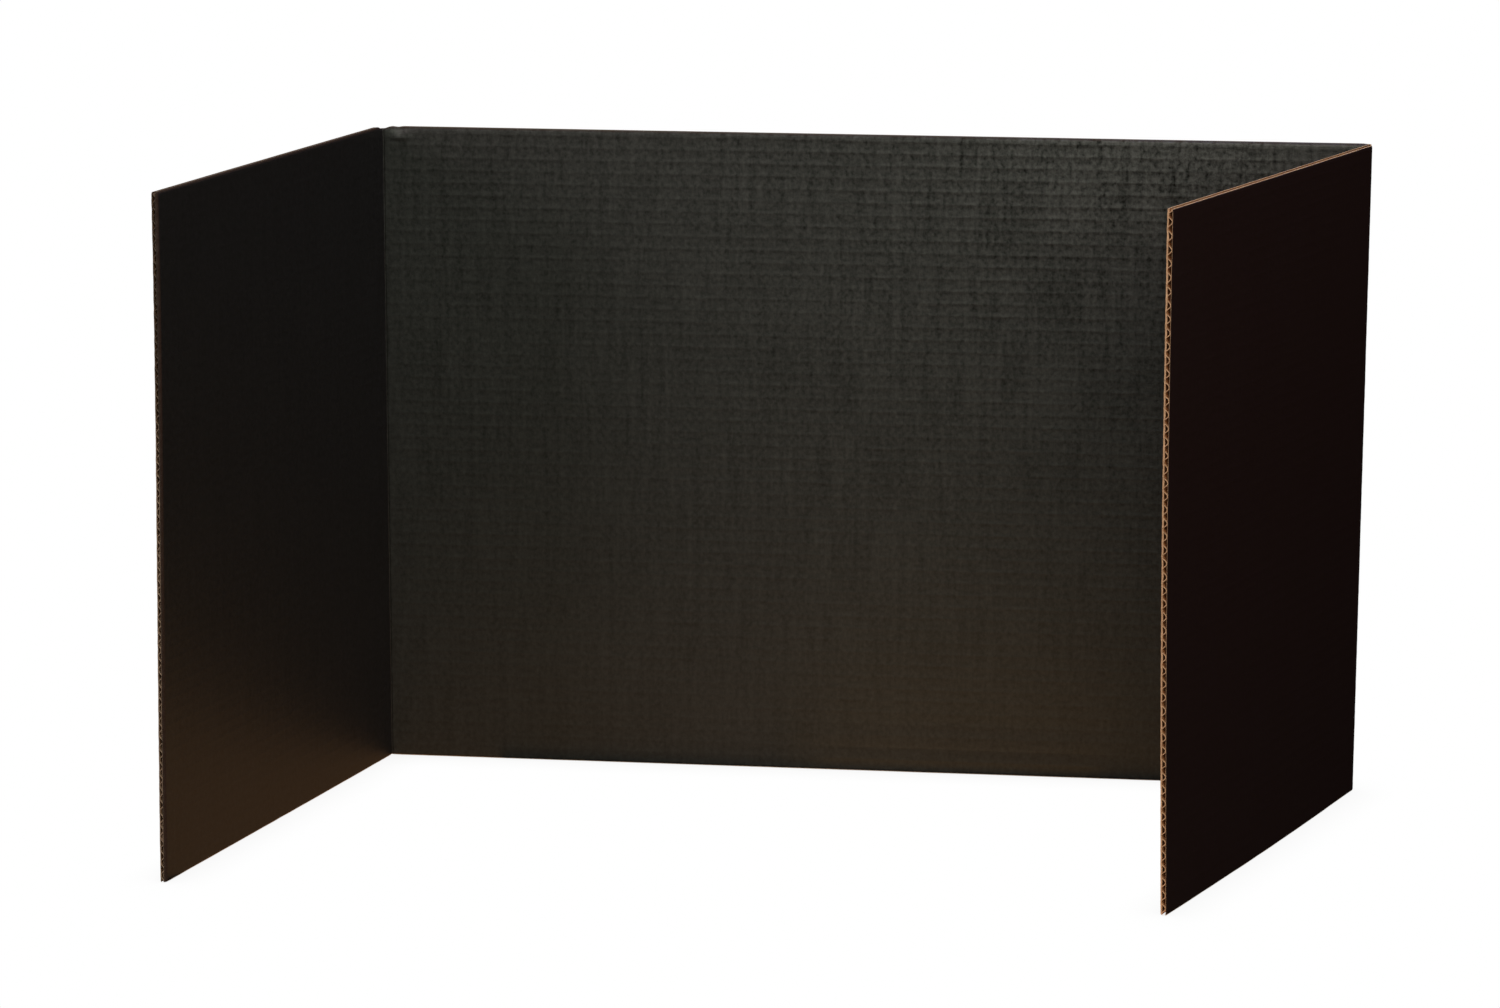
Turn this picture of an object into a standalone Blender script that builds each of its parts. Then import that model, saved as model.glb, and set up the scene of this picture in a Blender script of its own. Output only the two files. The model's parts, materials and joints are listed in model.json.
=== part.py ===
"""Table-top study carrel: a three-panel privacy board of single-wall corrugated board.

One sheet, 48 in wide and 16 in tall, is scored twice so that a 12 in wing folds
forward from each side of a 24 in centre panel.  The board is three paper webs:
an inner liner, a fluted medium and an outer liner.  The webs are divided at the
two scores, so each panel is one rigid body of three pieces under an empty.

Frame: +X to the right and +Y to the back for somebody seated at the carrel, +Z up.
The origin is on the table, at the middle of the centre panel's inner face.
The board stands on its bottom edges, and its flutes run level along each panel.

Pieces are drawn in board coordinates, in millimetres: x along the panel, y the depth
through the board from its inner face to its outer face, z up.
"""

import math

import bmesh
import bpy
from mathutils import Matrix

MM = 0.001
INCH = 25.4  # in millimetres, like every length below

# Sheet
SHEET_WIDTH = 48 * INCH  # the board laid flat
HEIGHT = 16 * INCH
FOLD_ALLOWANCE = 1.0  # the room a shut wing takes
FOLD_SPACING = 24 * INCH + FOLD_ALLOWANCE  # from score to score
WING_LENGTH = (SHEET_WIDTH - FOLD_SPACING) / 2  # from the score to the cut edge

# Board, C flute
BOARD = 4.0  # overall thickness
LINER = 0.3
MEDIUM = 0.25
GLUE = 0.05  # starch line between the medium's tips and a liner
FLUTES = 52.5  # over the height
PITCH = HEIGHT / FLUTES
TIP_HALF = 0.10 * PITCH  # half of the flat at each flute tip

# Score: the board is crushed from its outer side, down to the inner liner
SCORE_HALF = 4.5  # half of the groove's width on the outer side
WEB_START = 0.5  # where the crushed medium and outer liner start, from the fold plane
INNER_START = 0.25  # where the inner liner starts, from the fold plane
AXIS_FORWARD = 0.25  # from the inner face forward to the line the fold turns about

# How far each wing stands open, in degrees, between its inner face and the centre panel's
LEFT_OPEN = 103.8
RIGHT_OPEN = 68.6

# Depths through the board
MEDIUM_LOW = LINER + GLUE
FLUTE_RISE = BOARD - 2 * MEDIUM_LOW - MEDIUM  # of one surface, from inner to outer tips
OUTER_FRONT = BOARD - LINER  # the outer liner's glued side
CRUSHED_OUTER = MEDIUM_LOW + MEDIUM + GLUE  # the same side, crushed in a score

# Slopes
RAMP = math.atan2(OUTER_FRONT - CRUSHED_OUTER, SCORE_HALF - WEB_START)  # groove's side
FLANK = math.atan2(FLUTE_RISE, PITCH / 2 - 2 * TIP_HALF)  # flute's side, from level tip


def clear_scene():
    for blocks in (bpy.data.objects, bpy.data.meshes, bpy.data.materials):
        for block in list(blocks):
            if blocks == bpy.data.objects:
                bpy.data.objects.remove(block, do_unlink=True)
            else:
                blocks.remove(block)


def make_material(name, colour, roughness):
    material = bpy.data.materials.new(name)
    material.use_nodes = True
    shader = material.node_tree.nodes["Principled BSDF"]
    shader.inputs["Base Color"].default_value = (*colour, 1.0)
    shader.inputs["Roughness"].default_value = roughness
    shader.inputs["Metallic"].default_value = 0.0
    material.diffuse_color = (*colour, 1.0)
    return material


def make_materials():
    """One material for each web, keyed by the web's name."""
    return {
        "inner_liner": make_material(
            "black_inner_liner", colour=(0.028, 0.027, 0.025), roughness=0.5
        ),
        "outer_liner": make_material(
            "black_outer_liner", colour=(0.010, 0.008, 0.008), roughness=0.55
        ),
        "fluted_medium": make_material(
            "kraft_medium", colour=(0.40, 0.25, 0.13), roughness=0.85
        ),
    }


def liner_mesh(front, back):
    """A liner: the strip between two lines of (x, depth) points, raised to full height."""
    bm = bmesh.new()
    outline = front + back[::-1]
    bottom, top = (
        [bm.verts.new((x, depth, z)) for x, depth in outline] for z in (0.0, HEIGHT)
    )
    count = len(outline)
    for rim in (bottom, top):
        for i in range(len(front) - 1):
            bm.faces.new((rim[i], rim[i + 1], rim[count - 2 - i], rim[count - 1 - i]))
    for i in range(count):
        j = (i + 1) % count
        bm.faces.new((bottom[i], bottom[j], top[j], top[i]))
    return bm


def along_panel(start, end, end_scored, crushed, full, corner=0.0):
    """(x, value) points along a panel: crushed at each score, full beyond its groove.

    corner moves the top of the groove's side towards the fold.
    """
    groove = ((WEB_START, crushed), (SCORE_HALF - corner, full))
    points = [(start + offset, value) for offset, value in groove]
    if end_scored:
        points += [(end - offset, value) for offset, value in reversed(groove)]
    else:
        points.append((end, full))
    return points


def inner_liner(start, end, end_scored):
    """A flat liner, stopped just short of each fold plane."""
    first = start + INNER_START
    last = end - INNER_START if end_scored else end
    return liner_mesh([(first, 0.0), (last, 0.0)], [(first, LINER), (last, LINER)])


def outer_liner(start, end, end_scored):
    """A liner that ramps down into each score, mitred to keep its thickness."""
    front = along_panel(start, end, end_scored, crushed=CRUSHED_OUTER, full=OUTER_FRONT)
    back = along_panel(
        start,
        end,
        end_scored,
        crushed=CRUSHED_OUTER + LINER / math.cos(RAMP),
        full=BOARD,
        corner=LINER * math.tan(RAMP / 2),
    )
    return liner_mesh(front, back)


def flute_wave(faces_outer):
    """One surface of the medium, as (z, share of the flute's rise) points up the height."""
    # A tip's flat is wider on the outside of its bends than on the inside.
    widen = MEDIUM / 2 * math.tan(FLANK / 2)
    points = []
    for k in range(round(2 * FLUTES) + 1):
        at_outer = k % 2
        half = TIP_HALF + (widen if at_outer == faces_outer else -widen)
        z = k * PITCH / 2
        points.append((max(0.0, z - half), at_outer))
        points.append((min(HEIGHT, z + half), at_outer))
    return points


def fluted_medium(start, end, end_scored):
    """The fluted medium: a level wave, crushed flat at each score."""
    bm = bmesh.new()
    # The share of the flute's full height left at each station.
    stations = along_panel(start, end, end_scored, crushed=0.0, full=1.0)
    lows, highs = (
        [
            [bm.verts.new((x, base + share * FLUTE_RISE * up, z)) for z, up in wave]
            for x, share in stations
        ]
        for base, wave in (
            (MEDIUM_LOW, flute_wave(faces_outer=False)),
            (MEDIUM_LOW + MEDIUM, flute_wave(faces_outer=True)),
        )
    )
    last = len(lows[0]) - 1
    for a in range(len(stations) - 1):
        b = a + 1
        for rows in (lows, highs):
            for i in range(last):
                bm.faces.new((rows[a][i], rows[a][i + 1], rows[b][i + 1], rows[b][i]))
        # Bottom and top edges
        for i in (0, last):
            bm.faces.new((lows[a][i], lows[b][i], highs[b][i], highs[a][i]))
    # Ends of the flutes
    for low, high in ((lows[0], highs[0]), (lows[-1], highs[-1])):
        for i in range(last):
            bm.faces.new((low[i], low[i + 1], high[i + 1], high[i]))
    return bm


def add_object(name, bm, material, parent, placement):
    """Makes an object of a mesh drawn in board coordinates."""
    bmesh.ops.transform(bm, matrix=placement, verts=bm.verts)
    bmesh.ops.recalc_face_normals(bm, faces=bm.faces)
    mesh = bpy.data.meshes.new(name)
    bm.to_mesh(mesh)
    bm.free()
    mesh.materials.append(material)
    obj = bpy.data.objects.new(name, mesh)
    bpy.context.scene.collection.objects.link(obj)
    obj.parent = parent


def add_panel(prefix, start, end, end_scored, parent, outward, shift, materials):
    """The three webs of one panel, from a score at start to a score or cut edge at end.

    outward is the sign of the parent's Y towards the outer face; shift is how far the
    inner face lies that way from the parent's origin.
    """
    placement = Matrix.Diagonal((MM, outward * MM, MM, 1.0)) @ Matrix.Translation(
        (0.0, shift, 0.0)
    )
    for web, build in (
        ("inner_liner", inner_liner),
        ("outer_liner", outer_liner),
        ("fluted_medium", fluted_medium),
    ):
        bm = build(start, end, end_scored)
        add_object(f"{prefix}_{web}", bm, materials[web], parent, placement)


def add_centre(materials):
    empty = bpy.data.objects.new("centre_panel", None)
    bpy.context.scene.collection.objects.link(empty)
    half = FOLD_SPACING / 2
    add_panel("centre", -half, half, True, empty, outward=1, shift=0.0, materials=materials)


def add_wing(side, x, turn, outward, materials):
    """A wing on an empty at its fold's axis, whose own +X runs along the wing."""
    hinge = bpy.data.objects.new(f"{side}_fold_axis", None)
    hinge.empty_display_type = "ARROWS"
    hinge.empty_display_size = 0.05
    hinge.location = (x * MM, -AXIS_FORWARD * MM, 0.0)
    hinge.rotation_euler = (0.0, 0.0, math.radians(turn))
    bpy.context.scene.collection.objects.link(hinge)
    add_panel(
        f"{side}_wing", 0.0, WING_LENGTH, False, hinge, outward, AXIS_FORWARD, materials
    )


def main():
    clear_scene()
    bpy.context.scene.unit_settings.scale_length = 1.0
    materials = make_materials()
    half = FOLD_SPACING / 2
    add_centre(materials)
    add_wing("left", -half, turn=-LEFT_OPEN, outward=-1, materials=materials)
    add_wing("right", half, turn=180.0 + RIGHT_OPEN, outward=1, materials=materials)


main()
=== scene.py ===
"""Looks of the table-top study carrel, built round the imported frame.

The carrel is one sheet of corrugated board: an inner liner, a fluted medium and an
outer liner, printed black on both faces, bare kraft inside and at the cut edges. The
centre panel stands along x, its inner face to the front (-y), and the two wings come
forward from its ends.

The sheet is worked out flat, in millimetres, then folded where the frame's folds stand:

    run     along the sheet, 0 at the middle of the centre panel, rising to the right
    height  0 on the table
    depth   through the board, rising outwards
    reach   distance along the board from the nearer fold

Every vertex keeps (run, height, depth from the inner face) in the attribute "board".
The materials are drawn in it, so a pattern runs on across a fold in every pose.
"""

import json
import math
from typing import NamedTuple

import bpy
import numpy as np
from mathutils import Matrix, Vector


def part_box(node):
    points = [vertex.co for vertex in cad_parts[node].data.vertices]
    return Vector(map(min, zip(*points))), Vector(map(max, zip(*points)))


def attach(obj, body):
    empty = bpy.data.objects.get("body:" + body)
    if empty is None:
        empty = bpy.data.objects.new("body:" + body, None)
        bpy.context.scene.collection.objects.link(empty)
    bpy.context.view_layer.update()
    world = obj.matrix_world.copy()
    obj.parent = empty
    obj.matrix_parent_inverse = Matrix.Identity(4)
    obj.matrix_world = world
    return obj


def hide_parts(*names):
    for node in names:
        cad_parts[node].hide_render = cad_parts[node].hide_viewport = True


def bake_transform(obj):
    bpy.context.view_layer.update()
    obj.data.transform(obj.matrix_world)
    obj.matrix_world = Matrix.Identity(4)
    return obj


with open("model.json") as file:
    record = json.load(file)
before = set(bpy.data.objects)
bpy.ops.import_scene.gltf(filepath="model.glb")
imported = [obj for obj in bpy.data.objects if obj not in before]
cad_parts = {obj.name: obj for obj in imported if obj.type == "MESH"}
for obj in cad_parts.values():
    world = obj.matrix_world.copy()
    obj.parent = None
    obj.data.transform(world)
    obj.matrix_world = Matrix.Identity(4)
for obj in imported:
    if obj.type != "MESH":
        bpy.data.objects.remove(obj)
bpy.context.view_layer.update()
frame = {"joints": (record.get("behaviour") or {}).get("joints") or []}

MM = 0.001
SIDES = ("left", "right")
SIGN = {"left": -1, "right": 1}

# ---------------------------------------------------------------- sizes from the frame

joint = {entry["name"]: entry for entry in frame["joints"]}
fold_xy = {side: np.array(joint[f"{side}_fold"]["pos_m"][:2]) / MM for side in SIDES}
open_angle = {
    side: math.radians(180.0 + joint[f"{side}_fold"]["range_deg"][0]) for side in SIDES
}


def wing_axes(side):
    """Plan directions of a wing at rest: along it from the fold, and out of the board."""
    angle = open_angle[side]
    along = np.array([-SIGN[side] * math.cos(angle), -math.sin(angle)])
    out = np.array([SIGN[side] * math.sin(angle), -math.cos(angle)])
    return along, out


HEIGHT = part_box("centre_inner_liner")[1].z / MM
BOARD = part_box("centre_outer_liner")[1].y / MM  # thickness of the whole board
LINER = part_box("centre_inner_liner")[1].y / MM
PROUD = -fold_xy["left"][1]  # a fold's axis lies this far in front of the inner face
FOLD = float(fold_xy["right"][0])  # from the sheet's middle to a fold
left_along, left_out = wing_axes("left")
wing_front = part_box("left_wing_inner_liner")[0].y / MM
WING = float((fold_xy["left"][1] + left_out[1] * PROUD - wing_front) / -left_along[1])
HALF_SHEET = FOLD + WING

# ---------------------------------------------------------------- sizes of the board, mm

MEDIUM = 0.25
GLUE = 0.02
FLUTES = 52.5
PITCH = HEIGHT / FLUTES
FLUTE_HARMONIC = 0.06  # share of the third harmonic in the flutes' wave
RIDGE_SHARPNESS = 1.8
TOP_BEVEL = 0.4  # how much lower the outer face ends than the inner

SCORE_HALF = 4.5  # the board is crushed this far each side of a fold
SCORE_CORE = 0.4  # and fully crushed within this
INNER_RADIUS = {"left": 0.48, "right": 0.60}  # of the inner face round the fold's axis
OUTER_RADIUS = {"left": 1.95, "right": 1.75}
BEND_STEPS = {"left": 12, "right": 16}
BEND_RUN = 0.6  # length of sheet given to the bend

# Relief of the inner face: base + gain * rise**power * ramp over the span, each
# calmed over the last span. Spans are in run.
RELIEF_BASE = 0.60
LEFT_GAIN, LEFT_POWER, LEFT_SPAN = 0.95, 1.2, (-FOLD - 40.0, -FOLD + 40.0)
RIGHT_GAIN, RIGHT_POWER, RIGHT_SPAN = 1.85, 2.0, (-180.0, 290.0)
CALM_LOSS, CALM_SPAN = 0.60, (200.0, 290.0)

# Where mesh lines stand.
STRIP = 7.0  # a crease piece reaches this far from its fold
CREASE = [0.0, 0.25, 0.5, 0.8, 1.2, 1.6, 2.1, 2.6, 3.1, 3.6, 4.0, 4.35, 4.7, 5.2, 6.0, STRIP]
NEAR_FOLD = [STRIP, 8.0, 9.5, 11.0, 12.5, 14.0, 16.0, 18.0]
NEAR_CUT = [0.0, 0.18, 0.45, 0.8, 1.2, 1.6, 2.1, 3.0, 5.0, 9.0]  # from a wing's end
NEAR_RIM = [0.15, 0.4, 0.7]  # extra rows from the top and the bottom
EVEN_START = 24.0  # reach where evenly spaced columns begin
PAPER_STEP, CORE_STEP = 12.0, 36.0
PAPER_ROWS, CORE_ROWS = 12, 16  # per flute

# ---------------------------------------------------------------- shaping functions


def noise(x, y, seed, size=64):
    """Smooth value noise from -1 to 1, features one unit wide. A fixed y picks one line."""
    grid = np.random.RandomState(seed).rand(size, size) * 2.0 - 1.0
    x, y = np.broadcast_arrays(np.asarray(x, float), np.asarray(y, float))
    i, j = np.floor(x).astype(int), np.floor(y).astype(int)
    part_x, part_y = x - i, y - j
    part_x = part_x * part_x * (3 - 2 * part_x)
    part_y = part_y * part_y * (3 - 2 * part_y)

    def corner(step_x, step_y):
        return grid[(i + step_x) % size, (j + step_y) % size]

    near = corner(0, 0) * (1 - part_x) + corner(1, 0) * part_x
    far = corner(0, 1) * (1 - part_x) + corner(1, 1) * part_x
    return near * (1 - part_y) + far * part_y


def vary(mean, swing, x, y, seed):
    return mean + swing * noise(x, y, seed)


def smoothstep(x, low, high):
    share = np.clip((x - low) / (high - low), 0.0, 1.0)
    return share * share * (3 - 2 * share)


def soft_clamp(x, softness):
    """x held between 0 and 1 with rounded corners."""
    return softness * (np.logaddexp(0.0, x / softness) - np.logaddexp(0.0, (x - 1.0) / softness))


def bell(offset, width):
    return np.exp(-((offset / width) ** 2))


def fall(distance, width):
    """1 at an edge, easing to 0 at width from it."""
    return np.clip(1.0 - distance / width, 0.0, 1.0) ** 2


# ---------------------------------------------------------------- the board's faces


def edge_gaps(run, height):
    """Distances to the nearer wing's end, the top and the bottom."""
    return HALF_SHEET - np.abs(run), HEIGHT - height, height


def washboard(height, shift):
    """How far the liner has sunk: 0 on a flute's glue line, 1 midway to the next."""
    turn = 2 * math.pi * (height / PITCH - shift)
    ridge = np.exp(RIDGE_SHARPNESS * (np.cos(turn) - 1.0))
    return (1.0 - ridge) / (1.0 - math.exp(-2 * RIDGE_SHARPNESS))


def relief(run, height):
    """Strength of the flutes in the inner face. It grows up the centre, to its right."""
    rise = np.clip(height / HEIGHT, 0.0, 1.0)
    return (
        RELIEF_BASE
        + LEFT_GAIN * rise**LEFT_POWER * smoothstep(run, *LEFT_SPAN)
        + RIGHT_GAIN * rise**RIGHT_POWER * smoothstep(run, *RIGHT_SPAN)
    ) * (1.0 - CALM_LOSS * smoothstep(run, *CALM_SPAN))


def inner_surface(run, height, reach, radius):
    cut, top, bottom = edge_gaps(run, height)
    inner = (
        PROUD
        + (radius - PROUD) * (1.0 - smoothstep(reach, 0.0, 0.9))
        + 0.05 * noise(height / 14.0, 0.0, seed=13) * (1.0 - smoothstep(reach, 0.3, 1.6))
    )
    # The knife presses the webs together along every cut edge, most at the left wing's.
    rough = noise(run / 3.1, height / 2.3, seed=14)
    between = 0.5 - 0.5 * np.cos(2 * math.pi * height / PITCH)
    pressed = np.where(
        run < 0,
        vary(1.0 + 0.30 * between, swing=0.25, x=height / 5.0, y=3.0, seed=15)
        * fall(cut, width=1.8),
        vary(0.28 + 0.12 * between, swing=0.10, x=height / 5.0, y=9.0, seed=16)
        * fall(cut, width=1.2),
    )
    inner = inner + (0.30 + 0.12 * rough) * fall(bottom, width=1.3)
    # Along the top the printed liner is drawn over the cut, least on the right wing.
    drawn = 1.1 - 0.6 * smoothstep(run, FOLD - 4.0, FOLD + 4.0)
    inner = inner + np.maximum(pressed, (drawn + 0.15 * rough) * fall(top, width=2.2))
    # The top corner by the left fold is knocked: it leans back, above a small pucker.
    lean = 0.80 * smoothstep(height, HEIGHT - 6.8, HEIGHT - 1.2)
    pucker = 0.34 * bell(height - HEIGHT + 7.4, width=1.4)
    return inner + bell(run + FOLD - 10.5, width=5.5) * (lean - pucker)


def outer_surface(run, height, reach, radius, crushed):
    cut, top, bottom = edge_gaps(run, height)
    dent = 0.22 * noise(height / 9.0, reach / 3.0, seed=11)
    dent = dent + 0.10 * noise(height / 2.7, reach / 2.0, seed=12)
    return (
        PROUD + BOARD - (PROUD + BOARD - radius) * crushed
        - dent * crushed * (1.0 - crushed) * 3.0
        - vary(0.20, swing=0.08, x=height / 4.0, y=5.0, seed=17) * fall(cut, width=1.0)
        - vary(0.24, swing=0.10, x=run / 4.0, y=7.0, seed=18) * fall(bottom, width=1.2)
        - vary(0.42, swing=0.12, x=run / 4.0, y=7.0, seed=23) * fall(top, width=1.8)
    )


def web_depths(run, height, reach, inner_radius, outer_radius):
    """The webs' faces as distances from the fold's axis, through the board."""
    crushed = soft_clamp((SCORE_HALF - reach) / (SCORE_HALF - SCORE_CORE), softness=0.09)
    inner = inner_surface(run, height, reach, inner_radius)
    outer = outer_surface(run, height, reach, outer_radius, crushed)

    # The liners sink between glue lines, unevenly, and not at all where crushed.
    sunk = 1.0 - crushed
    patchy = (
        0.8
        + 0.30 * noise(run / 85.0, height / 60.0, seed=19)
        + 0.42 * noise(run / 26.0, height / PITCH, seed=20)
    )
    wander = 0.45 * noise(run / 38.0, height / PITCH, seed=24)
    inner_sink = (
        0.043 * patchy * relief(run, height) * washboard(height + wander, shift=0.0) * sunk
    )
    outer_sink = 0.050 * patchy * washboard(height + wander, shift=0.5) * sunk

    # The liners' backs spread at the cut edges, and fray at the right wing's end.
    cut, top, bottom = edge_gaps(run, height)
    flare = 0.16 * np.exp(-np.minimum(cut, np.minimum(top, bottom)) / 0.35)
    frayed = vary(0.50, swing=0.16, x=height / 3.0, y=2.0, seed=25)
    frayed = frayed * np.exp(-cut / 0.5) * (run > 0)
    outer_flare = flare * (1.0 - smoothstep(run, FOLD + 200.0, HALF_SHEET - 2.0))
    return {
        "inner_face": inner + inner_sink,
        "inner_back": inner + inner_sink + LINER + flare + frayed,
        "core_low": inner + LINER + GLUE,
        "core_high": outer - LINER - GLUE,
        "outer_back": outer - outer_sink - LINER - outer_flare,
        "outer_face": outer - outer_sink,
    }


def bevelled(run, height, depth):
    """Height once cut: the top slopes down outwards, and is knocked down at the folds."""
    share = np.clip((depth - PROUD) / BOARD, 0.0, 1.0)
    zone = 1.5 * PITCH
    near_top = np.clip((height - (HEIGHT - zone)) / zone, 0.0, 1.0) ** 2
    knocked = 1.5 * bell(run + FOLD, width=3.4) + 0.25 * bell(run - FOLD, width=1.8)
    nick = 0.5 * bell(run + FOLD - 9.0, width=2.2)
    return height - (TOP_BEVEL * share + knocked + nick) * near_top


def flute(height):
    """The medium's middle line, -1 against the inner liner and +1 against the outer."""
    turn = 2 * math.pi * height / PITCH
    return -((1 + FLUTE_HARMONIC) * np.cos(turn) - FLUTE_HARMONIC * np.cos(3 * turn))


def flute_slope(height):
    turn = 2 * math.pi * height / PITCH
    rate = (1 + FLUTE_HARMONIC) * np.sin(turn) - 3 * FLUTE_HARMONIC * np.sin(3 * turn)
    return rate * 2 * math.pi / PITCH


def warp(run, height):
    """How far a wing bows and twists outwards, in mm; none near its fold.

    The free ends lean in at the top and out at the table.
    """
    x = np.clip((np.abs(run) - FOLD) / WING, 0.0, 1.0)
    z = height / HEIGHT
    right_bow = -1.4 * np.sin(math.pi * z) * x**1.6
    right_belly = 1.7 * np.sin(math.pi * x) * (1 - z) ** 3 * smoothstep(x, 0.0, 0.2)
    left_bow = 0.35 * np.sin(math.pi * z) * x**1.6
    right_twist = 2.45 - 5.0 * z
    left_twist = 3.18 - 6.08 * smoothstep(z, -0.25, 0.95)
    bow = np.where(run > 0, right_bow + right_belly, left_bow)
    return bow + np.where(run > 0, right_twist, left_twist) * x**1.3


# ---------------------------------------------------------------- columns of the mesh


class Column(NamedTuple):
    """A vertical line of the sheet; along and out are plan directions."""

    run: float
    reach: float
    side: str
    along: np.ndarray
    out: np.ndarray


def wing_lines(side, reaches):
    along, out = wing_axes(side)
    ordered = sorted(reaches, reverse=side == "left")
    return [Column(SIGN[side] * (FOLD + reach), reach, side, along, out) for reach in ordered]


def centre_lines(side, reaches):
    along, out = np.array([-SIGN[side], 0.0]), np.array([0.0, 1.0])
    ordered = sorted(reaches, reverse=side == "right")
    return [Column(SIGN[side] * (FOLD - reach), reach, side, along, out) for reach in ordered]


def bend_lines(side):
    """The fold itself, an arc round its axis."""
    ends = [wing_axes(side)[1], np.array([0.0, 1.0])]
    if side == "right":
        ends.reverse()
    start, stop = (math.atan2(out[1], out[0]) for out in ends)
    lines = []
    for k in range(1, BEND_STEPS[side]):
        share = k / BEND_STEPS[side]
        angle = start + (stop - start) * share
        out = np.array([math.cos(angle), math.sin(angle)])
        run = SIGN[side] * FOLD + (share - 0.5) * BEND_RUN
        lines.append(Column(run, 0.0, side, np.zeros(2), out))
    return lines


class Columns:
    """Columns across part of the sheet, in order of rising run."""

    def __init__(self, lines):
        self.run = np.array([line.run for line in lines])
        self.reach = np.array([line.reach for line in lines])
        self.along = np.array([line.along for line in lines])
        self.out = np.array([line.out for line in lines])
        self.origin = np.array([fold_xy[line.side] for line in lines])
        self.inner_radius = np.array([INNER_RADIUS[line.side] for line in lines])
        self.outer_radius = np.array([OUTER_RADIUS[line.side] for line in lines])

    def heights(self, rows):
        return np.repeat(rows[:, None], len(self.run), 1)

    def depths(self, height):
        return web_depths(
            self.run, height, self.reach, self.inner_radius, self.outer_radius
        )

    def world(self, height, depth):
        """Frame points, in metres, for grids of (rows, columns)."""
        warped = depth + warp(self.run, height)
        jog = 0.05 * noise(height / 1.7, self.run / 40.0, seed=21)
        jog = jog * fall(HALF_SHEET - np.abs(self.run), width=0.5)
        plan = (
            self.origin
            + self.along * (self.reach + jog)[..., None]
            + self.out * warped[..., None]
        )
        z = bevelled(self.run, height, depth)
        return np.concatenate([plan, z[..., None]], -1) * MM


def panel_columns(panel, step):
    if panel == "centre":
        even = list(np.arange(EVEN_START, FOLD - step * 0.5, step))
        left = centre_lines("left", NEAR_FOLD + even)
        return Columns(left + centre_lines("right", [FOLD] + NEAR_FOLD + even))
    even = list(np.arange(EVEN_START, WING - 9.5, step))
    return Columns(wing_lines(panel, NEAR_FOLD + even + [WING - gap for gap in NEAR_CUT]))


def crease_columns(side):
    parts = [wing_lines(side, CREASE), bend_lines(side), centre_lines(side, CREASE)]
    if side == "right":
        parts.reverse()
    return Columns([line for part in parts for line in part])


def even_rows(per_flute):
    return np.linspace(0.0, HEIGHT, round(FLUTES * per_flute) + 1)


def paper_rows():
    extra = NEAR_RIM + [HEIGHT - gap for gap in NEAR_RIM]
    return np.array(sorted(set(even_rows(PAPER_ROWS).tolist() + extra)))


# ---------------------------------------------------------------- meshes


def quads(*corners):
    return np.stack([corner.ravel() for corner in corners], -1)


def closed_web(name, columns, heights, depths, slots, looks):
    """A closed thin solid between two grids, the low face and the high face.

    heights and depths are pairs (low, high); slots are those of (low, high, rim).
    """
    points, board = [], []
    for height, depth in zip(heights, depths):
        points.append(columns.world(height, depth).reshape(-1, 3))
        run = np.broadcast_to(columns.run, depth.shape)
        board.append(np.stack([run, height, depth - PROUD], -1).reshape(-1, 3))
    points, board = np.concatenate(points), np.concatenate(board)

    low = np.arange(depths[0].size).reshape(depths[0].shape)
    high = low + low.size
    low_slot, high_slot, rim_slot = slots
    parts = [
        (quads(low[:-1, :-1], low[:-1, 1:], low[1:, 1:], low[1:, :-1]), low_slot),
        (quads(high[:-1, :-1], high[1:, :-1], high[1:, 1:], high[:-1, 1:]), high_slot),
        (quads(low[0, :-1], high[0, :-1], high[0, 1:], low[0, 1:]), rim_slot),
        (quads(low[-1, :-1], low[-1, 1:], high[-1, 1:], high[-1, :-1]), rim_slot),
        (quads(low[:-1, 0], low[1:, 0], high[1:, 0], high[:-1, 0]), rim_slot),
        (quads(low[:-1, -1], high[:-1, -1], high[1:, -1], low[1:, -1]), rim_slot),
    ]
    polygons = np.concatenate([part for part, _ in parts])
    face_slots = np.concatenate([np.full(len(part), slot, np.int32) for part, slot in parts])

    mesh = bpy.data.meshes.new(name)
    mesh.vertices.add(len(points))
    mesh.vertices.foreach_set("co", points.astype(np.float32).ravel())
    mesh.loops.add(polygons.size)
    mesh.loops.foreach_set("vertex_index", polygons.astype(np.int32).ravel())
    mesh.polygons.add(len(polygons))
    mesh.polygons.foreach_set("loop_start", np.arange(0, polygons.size, 4, dtype=np.int32))
    mesh.polygons.foreach_set("material_index", face_slots)
    mesh.update(calc_edges=True)
    stored = mesh.attributes.new("board", "FLOAT_VECTOR", "POINT")
    stored.data.foreach_set("vector", board.astype(np.float32).ravel())
    for look in looks:
        mesh.materials.append(look)
    mesh.polygons.foreach_set("use_smooth", np.ones(len(polygons), bool))
    mesh.set_sharp_from_angle(angle=math.radians(40))
    if mesh.validate(verbose=False):
        raise RuntimeError(f"{name} had faces that had to be mended")
    made = bpy.data.objects.new(name, mesh)
    bpy.context.scene.collection.objects.link(made)
    return made


def paper(prefix, face, columns, slots):
    """One printed liner; face is "inner" or "outer"."""
    height = columns.heights(paper_rows())
    depth = columns.depths(height)
    # Low is the side towards the inside of the carrel.
    order = ("face", "back") if face == "inner" else ("back", "face")
    return closed_web(
        f"{prefix}_{face}_paper",
        columns,
        heights=(height, height),
        depths=[depth[f"{face}_{part}"] for part in order],
        slots=slots,
        looks=[looks[face], looks["back"], looks["edge"]],
    )


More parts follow.
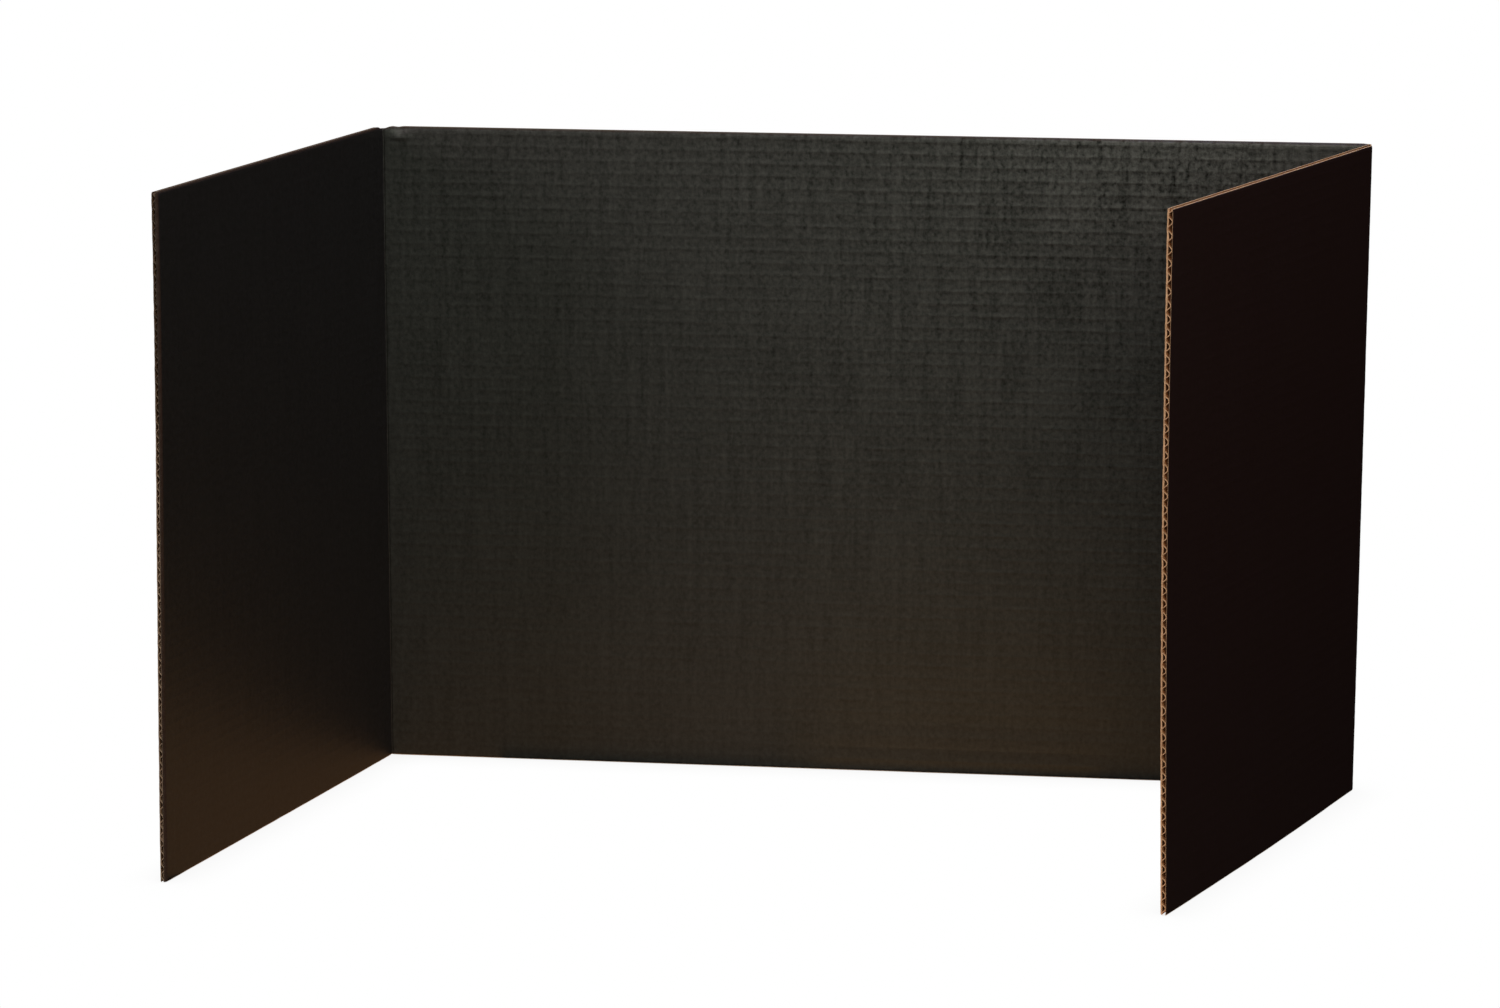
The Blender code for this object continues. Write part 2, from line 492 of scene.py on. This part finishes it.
def flutes(prefix, columns):
    height = columns.heights(even_rows(CORE_ROWS))
    depth = columns.depths(height)
    low, high = depth["core_low"], depth["core_high"]
    rise = np.maximum(high - low - MEDIUM, 0.0) / 2
    # Every flute leans and stands a little differently from its neighbours.
    lean = 0.035 * PITCH * noise(height / PITCH, columns.run / 150.0, seed=22)
    wave = (high + low) / 2 + rise * flute(height + lean)
    slope = rise * flute_slope(height + lean)
    length = np.sqrt(1.0 + slope**2)
    # Cut paper splays, so the flutes' walls look thicker at the wings' ends.
    half = MEDIUM / 2 + 0.11 * np.exp(-(HALF_SHEET - np.abs(columns.run)) / 0.6)
    half_depth, half_height = half / length, half * slope / length
    return closed_web(
        f"{prefix}_flutes",
        columns,
        heights=[np.clip(height + k * half_height, 0.0, HEIGHT) for k in (1, -1)],
        depths=(wave - half_depth, wave + half_depth),
        slots=(0, 0, 1),
        looks=[looks["medium"], looks["edge"]],
    )


def web_pieces(prefix, columns, core_columns):
    """The inner paper, the flutes and the outer paper of one stretch of the sheet."""
    inner = paper(prefix, "inner", columns, slots=(0, 1, 2))
    outer = paper(prefix, "outer", columns, slots=(1, 0, 2))
    return inner, flutes(prefix, core_columns), outer


# ---------------------------------------------------------------- node writing


class Signal:
    """A shader node's output. Arithmetic on it adds math nodes."""

    def __init__(self, nodes, socket):
        self.nodes = nodes
        self.socket = socket

    def __add__(self, other):
        return self.nodes.math("ADD", self, other)

    def __radd__(self, other):
        return self.nodes.math("ADD", other, self)

    def __sub__(self, other):
        return self.nodes.math("SUBTRACT", self, other)

    def __rsub__(self, other):
        return self.nodes.math("SUBTRACT", other, self)

    def __mul__(self, other):
        return self.nodes.math("MULTIPLY", self, other)

    def __rmul__(self, other):
        return self.nodes.math("MULTIPLY", other, self)

    def __truediv__(self, other):
        return self.nodes.math("DIVIDE", self, other)

    def __pow__(self, other):
        return self.nodes.math("POWER", self, other)

    def at_least(self, other):
        return self.nodes.math("MAXIMUM", self, other)

    def at_most(self, other):
        return self.nodes.math("MINIMUM", self, other)

    def exp(self):
        return self.nodes.math("EXPONENT", self)

    def clamped(self):
        """Holds this math node's own result between 0 and 1."""
        self.socket.node.use_clamp = True
        return self


class Nodes:
    """A short way to write the node tree of a material or the world."""

    def __init__(self, owner):
        self.owner = owner
        owner.use_nodes = True
        self.tree = owner.node_tree
        self.tree.nodes.clear()

    def node(self, kind, **values):
        made = self.tree.nodes.new(kind)
        for key, value in values.items():
            setattr(made, key, value)
        return made

    def put(self, value, socket):
        if isinstance(value, Signal):
            self.tree.links.new(value.socket, socket)
        else:
            socket.default_value = value

    def output(self, node, key=0):
        return Signal(self, node.outputs[key])

    def math(self, operation, *values):
        made = self.node("ShaderNodeMath", operation=operation)
        for k, value in enumerate(values):
            self.put(value, made.inputs[k])
        return self.output(made)

    def board(self):
        """The run, height and depth signals, in mm."""
        found = self.node("ShaderNodeAttribute", attribute_name="board")
        parts = self.node("ShaderNodeSeparateXYZ")
        self.put(self.output(found, "Vector"), parts.inputs[0])
        return [self.output(parts, k) for k in range(3)]

    def point(self, x, y, z):
        made = self.node("ShaderNodeCombineXYZ")
        for k, value in enumerate((x, y, z)):
            self.put(value, made.inputs[k])
        return self.output(made)

    def noise(self, where, scale=1.0, detail=2.0, roughness=0.5):
        made = self.node("ShaderNodeTexNoise", noise_dimensions="3D")
        self.put(where, made.inputs["Vector"])
        made.inputs["Scale"].default_value = scale
        made.inputs["Detail"].default_value = detail
        made.inputs["Roughness"].default_value = roughness
        return self.output(made)

    def ramp(self, value, span, levels=(0.0, 1.0)):
        """Eases from the first level to the second as value crosses the span."""
        made = self.node("ShaderNodeMapRange", interpolation_type="SMOOTHSTEP")
        self.put(value, made.inputs["Value"])
        for name, number in zip(("From Min", "From Max", "To Min", "To Max"), span + levels):
            self.put(number, made.inputs[name])
        return self.output(made, "Result")

    def mix(self, share, first, second):
        made = self.node("ShaderNodeMix", data_type="RGBA")
        self.put(share, made.inputs[0])
        for socket, value in ((made.inputs[6], first), (made.inputs[7], second)):
            self.put((*value, 1.0) if isinstance(value, tuple) else value, socket)
        return self.output(made, 2)

    def bump(self, height, distance, strength=1.0, after=None):
        made = self.node("ShaderNodeBump")
        self.put(height, made.inputs["Height"])
        made.inputs["Distance"].default_value = distance
        made.inputs["Strength"].default_value = strength
        if after is not None:
            self.put(after, made.inputs["Normal"])
        return self.output(made)

    def finish(self, colour, roughness, normal, specular):
        shader = self.node("ShaderNodeBsdfPrincipled")
        out = self.node("ShaderNodeOutputMaterial")
        self.put(colour, shader.inputs["Base Color"])
        self.put(roughness, shader.inputs["Roughness"])
        self.put(specular, shader.inputs["Specular IOR Level"])
        self.put(normal, shader.inputs["Normal"])
        self.put(self.output(shader), out.inputs[0])
        return self.owner


# ---------------------------------------------------------------- materials


def relief_signal(n, run, height):
    """The same relief() as the mesh has, for the grain."""
    rise = (height / HEIGHT).clamped()
    left = rise**LEFT_POWER * n.ramp(run, LEFT_SPAN, levels=(0.0, LEFT_GAIN))
    right = rise**RIGHT_POWER * n.ramp(run, RIGHT_SPAN, levels=(0.0, RIGHT_GAIN))
    strong = RELIEF_BASE + (left + right)
    return strong * n.ramp(run, CALM_SPAN, levels=(1.0, 1.0 - CALM_LOSS))


def painted_highlights(n, run, height):
    """Painted highlights in the specular level: extra gloss up the inner face's right, and a
    painted glint on the knocked left corner.
    """
    gloss = n.ramp(run, span=(-20.0, 200.0)) * n.ramp(
        height, span=(325.0, 397.0), levels=(0.0, 0.36)
    )
    off_run = ((run - (11.0 - FOLD)) / 6.0) ** 2.0
    off_height = ((height - (HEIGHT - 4.0)) / 2.0) ** 2.0
    return gloss + ((off_run + off_height) * -1.0).exp() * 1.1


def printed_paper(
    name, ink, ink_pale, rough, tip_shift, mottle_gain, streak_gain, gloss, ridge_mm, even
):
    """Black flexo print on a kraft liner, its ink rubbed off along the cut edges.

    Fibres stand upright, and bands show where the flutes' tips back the paper.
    tip_shift is the bands' offset in flutes. even is True for the outer face, whose
    relief is the same all over and which has no matt rim.
    """
    n = Nodes(bpy.data.materials.new(name))
    run, height, depth = n.board()

    def pattern(per_run, per_height, layer, **settings):
        return n.noise(n.point(run * per_run, height * per_height, layer), **settings)

    fibres = pattern(2.1, 0.75, layer=depth, detail=3.0, roughness=0.6)
    grain = pattern(0.36, 0.30, layer=7.0, detail=3.0, roughness=0.62)
    streaks = pattern(0.20, 0.018, layer=3.0, detail=3.0, roughness=0.6)
    clouds = pattern(0.028, 0.020, layer=9.0)
    turn = (height / PITCH - tip_shift) * (2 * math.pi)
    ridge = ((n.math("COSINE", turn) - 1.0) * 2.6).exp()
    # Each ridge comes and goes along the sheet.
    band = pattern(0.055, 1.0 / PITCH, layer=5.0)
    ridge = ridge * n.ramp(band, span=(0.30, 0.70))
    strong = 0.8 if even else relief_signal(n, run, height)

    pale = fibres * 0.55 + grain * 0.45
    colour = n.mix(n.ramp(pale, span=(0.36, 0.66)), ink, ink_pale)

    # The left wing's end keeps its ink, and so does the outer face at both ends.
    kept = 0.8 if even else 0.0
    edge = (HALF_SHEET + kept - run).at_most(run + (HALF_SHEET + 1.0))
    edge = edge.at_most(height.at_most((HEIGHT - height) + 0.25))
    ragged = pattern(1.6, 1.6, layer=2.0, detail=3.0, roughness=0.7)
    worn = n.ramp(ragged * 0.95 - edge, span=(0.0, 0.16))
    bare_kraft = (0.46, 0.285, 0.180)
    colour = n.mix(worn, colour, bare_kraft)

    # Where the paper is fuller of ink it is glossier and shows lighter.
    mottle = (
        (grain - 0.5) * mottle_gain
        + (streaks - 0.5) * streak_gain
        + (clouds - 0.5) * 0.15
    )
    mottle = mottle * strong
    shine = (rough + mottle * 0.16).at_most(0.62).at_least(0.34)
    shine = (shine + worn * 0.35).clamped()
    coat = gloss * (1.0 + mottle)
    # Painted sheen: the outer face's specular level rises towards the table, standing in for
    # light. The inner face gets painted highlights.
    if even:
        coat = coat * n.ramp(height, span=(0.0, 260.0), levels=(1.22, 1.0))
    else:
        coat = coat * (1.0 + painted_highlights(n, run, height))

    # The rim drawn over the cut, along the top and down the left wing's end, is matt
    # and brownish.
    rim_levels = (0.0 if even else 1.0, 0.0)
    rim = n.ramp(HEIGHT - height, span=(0.5, 1.9), levels=(1.0, 0.0)) * n.ramp(
        run, span=(FOLD - 3.0, FOLD + 1.0), levels=rim_levels
    )
    rim = rim.at_least(n.ramp(run + HALF_SHEET, span=(0.9, 2.2), levels=rim_levels))
    coat = coat * (1.0 - rim * 0.75)
    rim_brown = (0.040, 0.022, 0.016)
    colour = n.mix(rim * 0.8, colour, rim_brown)
    coat = coat.at_most(1.0).at_least(0.08)

    bumps = n.bump(grain * strong, distance=0.00006)
    bumps = n.bump(fibres * strong, distance=0.00004, after=bumps)
    bumps = n.bump(ridge * strong, distance=ridge_mm * MM, after=bumps)
    return n.finish(colour, shine, bumps, specular=coat)


def ink_and_painted_shade(n, run, height, depth):
    """Share of the ink's colour over the bare paper near the cut edges: painted shade on the
    left wing's end, real ink on the right wing's outer liner and along the top.
    """
    # Painted shade on the left wing's cut end, in the ink's colour: most towards the inner face
    # and the top, where that end lies in shade.
    near = n.ramp(run + HALF_SHEET, span=(0.3, 2.4), levels=(1.0, 0.0))
    deep = n.ramp(depth, span=(1.2, 1.9), levels=(1.0, 0.30)) + n.ramp(
        height, span=(220.0, 320.0), levels=(0.0, 0.55)
    )
    shade_patches = n.noise(n.point(run * 0.3, height * 0.33, depth * 0.9))
    deep = (deep + n.ramp(shade_patches, span=(0.3, 0.7), levels=(-0.10, 0.10))).clamped()
    darkened = near * deep
    # The outer liner's edge at the right wing's end is inked over too.
    far = n.ramp(HALF_SHEET - run, span=(0.3, 1.5), levels=(1.0, 0.0)) * n.ramp(
        depth, span=(3.35, 3.65), levels=(0.0, 0.62)
    )
    darkened = darkened.at_least(far)
    # A little ink lies along the top of the left wing and the centre panel.
    high = n.ramp(height, span=(HEIGHT - 2.0, HEIGHT - 0.3)) * n.ramp(
        run, span=(FOLD - 6.0, FOLD), levels=(0.78, 0.10)
    )
    return darkened.at_least(high)


def kraft(name, dark, pale, scale=1.0):
    """Bare kraft paper: fibres, specks and soft blotches, with painted shade inside the flutes
    and on the left wing's end.
    """
    n = Nodes(bpy.data.materials.new(name))
    run, height, depth = n.board()
    where = n.point(run * (1.3 * scale), height * (0.8 * scale), depth * (1.6 * scale))
    fibres = n.noise(where, detail=4.0, roughness=0.65)
    blotch = n.noise(where, scale=0.12)
    speck = n.noise(where, scale=2.7, detail=1.0)
    share = fibres * 0.7 + blotch * 0.3
    colour = n.mix(n.ramp(share, span=(0.34, 0.66)), dark, pale)
    speck_share = n.ramp(speck, span=(0.68, 0.78), levels=(0.0, 0.5))
    colour = n.mix(speck_share, colour, tuple(channel * 0.45 for channel in dark))

    # Painted shade: inside the flutes the paper is darkened to a deeper brown, redder in the
    # right wing.
    end = (HALF_SHEET - n.math("ABSOLUTE", run)).at_most(HEIGHT - height)
    flute_shade_dark, flute_shade_red = (0.120, 0.046, 0.018), (0.40, 0.145, 0.050)
    inside = n.mix(n.ramp(run, span=(FOLD, FOLD + 60.0)), flute_shade_dark, flute_shade_red)
    colour = n.mix(n.ramp(end, span=(0.4, 2.6), levels=(0.0, 0.88)), colour, inside)

    # Painted shade: the left wing's end is darkened and greyed, as that end lies in shade.
    left_end_shade = n.ramp(run + HALF_SHEET, span=(0.2, 1.6), levels=(0.70, 0.0))
    left_end_shade_grey, ink = (0.27, 0.215, 0.165), (0.026, 0.017, 0.013)
    colour = n.mix(left_end_shade, colour, left_end_shade_grey)
    # Real ink along the edges, and painted shade in the ink's colour on the left wing's end.
    colour = n.mix(ink_and_painted_shade(n, run, height, depth), colour, ink)
    bumps = n.bump(fibres, distance=0.00012, strength=0.6)
    return n.finish(colour, 0.88, bumps, specular=0.3)


looks = {
    "inner": printed_paper(
        "black_printed_inner_face",
        ink=(0.0058, 0.0054, 0.0050), ink_pale=(0.0110, 0.0102, 0.0094),
        rough=0.46, tip_shift=0.0, mottle_gain=1.15, streak_gain=0.75,
        gloss=0.50, ridge_mm=0.028, even=False,
    ),
    "outer": printed_paper(
        "black_printed_outer_face",
        ink=(0.0150, 0.0062, 0.0052), ink_pale=(0.0200, 0.0086, 0.0072),
        rough=0.50, tip_shift=0.5, mottle_gain=0.25, streak_gain=0.2,
        gloss=0.52, ridge_mm=0.02, even=True,
    ),
    "medium": kraft("kraft_flutes", dark=(0.32, 0.170, 0.085), pale=(0.48, 0.28, 0.155)),
    "back": kraft("kraft_liner_back", dark=(0.33, 0.18, 0.095), pale=(0.49, 0.295, 0.17)),
    "edge": kraft(
        "kraft_cut_edge", dark=(0.40, 0.225, 0.125), pale=(0.62, 0.375, 0.235), scale=2.0
    ),
}

# ---------------------------------------------------------------- the pieces

# The frame's web, and the name of its slot; in the order of web_pieces().
WEBS = (
    ("inner_liner", "black_inner_liner"),
    ("fluted_medium", "kraft_medium"),
    ("outer_liner", "black_outer_liner"),
)
# Panel, prefix of its pieces, body it rides.
PANELS = (
    ("centre", "centre", "centre_panel"),
    ("left", "left_wing", "left_wing"),
    ("right", "right_wing", "right_wing"),
)

for panel, prefix, body in PANELS:
    papers, core = (panel_columns(panel, step) for step in (PAPER_STEP, CORE_STEP))
    for piece, (web, slot) in zip(web_pieces(prefix, papers, core), WEBS):
        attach(piece, body)
        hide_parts(f"{prefix}_{web}")

for side in SIDES:
    # The direction across the fold, from the centre panel to the wing.
    across = wing_axes(side)[0] - np.array([-SIGN[side], 0.0])
    across = across / np.linalg.norm(across)
    lines = crease_columns(side)
    for piece, (_, slot) in zip(web_pieces(f"{side}_crease", lines, lines), WEBS):
        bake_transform(piece)

# ---------------------------------------------------------------- lights, in metres

scene = bpy.context.scene
scene.view_settings.view_transform = "Standard"

AIM = (0.0, -0.15, 0.2)
LIGHT_REACH = 2.2


def softbox(name, place, target, size, watts, colour=(1.0, 1.0, 1.0)):
    data = bpy.data.lights.new(name, "AREA")
    data.shape = "RECTANGLE"
    data.size, data.size_y = size
    data.energy = watts
    data.color = colour
    made = bpy.data.objects.new(name, data)
    made.location = place
    aim = Vector(target) - Vector(place)
    made.rotation_euler = aim.to_track_quat("-Z", "Y").to_euler()
    made.visible_camera = False
    scene.collection.objects.link(made)


def around(azimuth, elevation):
    """A point seen from AIM, in degrees: azimuth 0 is the front, 90 the right."""
    azimuth, elevation = math.radians(azimuth), math.radians(elevation)
    return Vector((
        math.sin(azimuth) * math.cos(elevation) * LIGHT_REACH + AIM[0],
        -math.cos(azimuth) * math.cos(elevation) * LIGHT_REACH + AIM[1],
        math.sin(elevation) * LIGHT_REACH + AIM[2],
    ))


# Name, azimuth, elevation, watts, colour.
for name, azimuth, elevation, watts, colour in (
    ("key_left", -50, 12, 16.6, (1.0, 0.86, 0.84)),
    ("front", 0, 12, 6.5, (0.88, 1.0, 0.82)),
    ("front_right", 25, 12, 5.1, (0.88, 1.0, 0.80)),
    ("high_right", 25, 32, 16.2, (1.0, 0.87, 0.73)),
    ("overhead_left", -60, 78, 27.0, (0.86, 1.0, 0.76)),
    ("overhead_right", 60, 78, 19.5, (0.23, 0.385, 1.0)),
):
    softbox(name, around(azimuth, elevation), AIM, (0.95, 0.95), watts, colour)

# Warm light thrown back by the table inside the carrel.
BOUNCE_FRONT = 0.38  # the bounces end this far in front of the centre panel
BOUNCE_LEVEL = -0.0002
# Name, x, width, gap to the centre panel, watts, colour.
for name, x, width, gap, watts, colour in (
    ("bounce_left", -0.305, 0.14, 0.0, 0.054, (1.0, 0.51, 0.21)),
    ("bounce_inner", -0.147, 0.17, 0.015, 0.078, (1.0, 0.53, 0.22)),
    ("bounce_middle", 0.058, 0.18, 0.015, 0.120, (1.0, 0.49, 0.10)),
    ("bounce_wide", 0.072, 0.26, 0.015, 0.144, (1.0, 0.49, 0.12)),
):
    y = -(BOUNCE_FRONT + gap) / 2
    size = (width, BOUNCE_FRONT - gap)
    softbox(name, (x, y, BOUNCE_LEVEL), (x, y, 1.0), size, watts, colour)
softbox("behind_left", around(-150, 35), AIM, size=(1.2, 1.2), watts=30.0)

# ---------------------------------------------------------------- world and floor


def white_surround():
    """White to the camera, a dim warm glow to everything else."""
    n = Nodes(bpy.data.worlds.new("white_surround"))
    path = n.node("ShaderNodeLightPath")
    seen = n.node("ShaderNodeBackground")
    dim = n.node("ShaderNodeBackground", name="dim")
    pick = n.node("ShaderNodeMixShader")
    out = n.node("ShaderNodeOutputWorld")
    seen.inputs["Color"].default_value = (1.0, 1.0, 1.0, 1.0)
    dim.inputs["Color"].default_value = (1.0, 0.30, 0.06, 1.0)
    dim.inputs["Strength"].default_value = 0.030
    n.put(n.output(path, "Is Camera Ray"), pick.inputs[0])
    n.put(n.output(dim), pick.inputs[1])
    n.put(n.output(seen), pick.inputs[2])
    n.put(n.output(pick), out.inputs[0])
    return n.owner


def pale_floor():
    """A white table with a painted contact shadow: it darkens only where the board stands on it.

    It throws no light itself: the bounce lights do.
    """
    mesh = bpy.data.meshes.new("floor")
    half, level = 12.0, -0.0004
    corners = [(-half, -half), (half, -half), (half, half), (-half, half)]
    mesh.from_pydata([(x, y, level) for x, y in corners], [], [(0, 1, 2, 3)])
    n = Nodes(bpy.data.materials.new("pale_floor"))
    # Painted contact shadow: ambient occlusion greys the floor's colour next to the board.
    near = n.node("ShaderNodeAmbientOcclusion", samples=16)
    near.inputs["Distance"].default_value = 0.03
    shade = n.output(near, "AO") ** 0.25
    painted_shadow_grey, white = (0.62, 0.61, 0.60), (1.0, 1.0, 1.0)
    seen = n.mix(shade, painted_shadow_grey, white)
    camera_ray = n.output(n.node("ShaderNodeLightPath"), "Is Camera Ray")
    emission = n.node("ShaderNodeEmission")
    n.put(seen, emission.inputs["Color"])
    n.put(camera_ray, emission.inputs["Strength"])
    out = n.node("ShaderNodeOutputMaterial")
    n.put(n.output(emission), out.inputs[0])
    mesh.materials.append(n.owner)
    made = bpy.data.objects.new("floor", mesh)
    scene.collection.objects.link(made)


scene.world = white_surround()
pale_floor()

# ---------------------------------------------------------------- camera

CAMERA_PLACE = (0.2687, -2.823, 0.785)
# Degrees: yaw to the right of +y, pitch downwards, roll.
yaw, pitch, roll = (math.radians(angle) for angle in (-6.92, 12.18, 0.12))
forward = Vector(
    (math.sin(yaw) * math.cos(pitch), math.cos(yaw) * math.cos(pitch), -math.sin(pitch))
)
right = Vector((math.cos(yaw), -math.sin(yaw), 0.0))
up = right.cross(forward)
right, up = (
    right * math.cos(roll) + up * math.sin(roll),
    up * math.cos(roll) - right * math.sin(roll),
)
camera_data = bpy.data.cameras.new("camera")
camera_data.sensor_width = 36.0
camera_data.lens = 110.904
camera_data.clip_start, camera_data.clip_end = 0.05, 60.0
camera = bpy.data.objects.new("camera", camera_data)
turned = Matrix((right, up, -forward)).transposed().to_4x4()
camera.matrix_world = Matrix.Translation(CAMERA_PLACE) @ turned
scene.collection.objects.link(camera)
scene.camera = camera
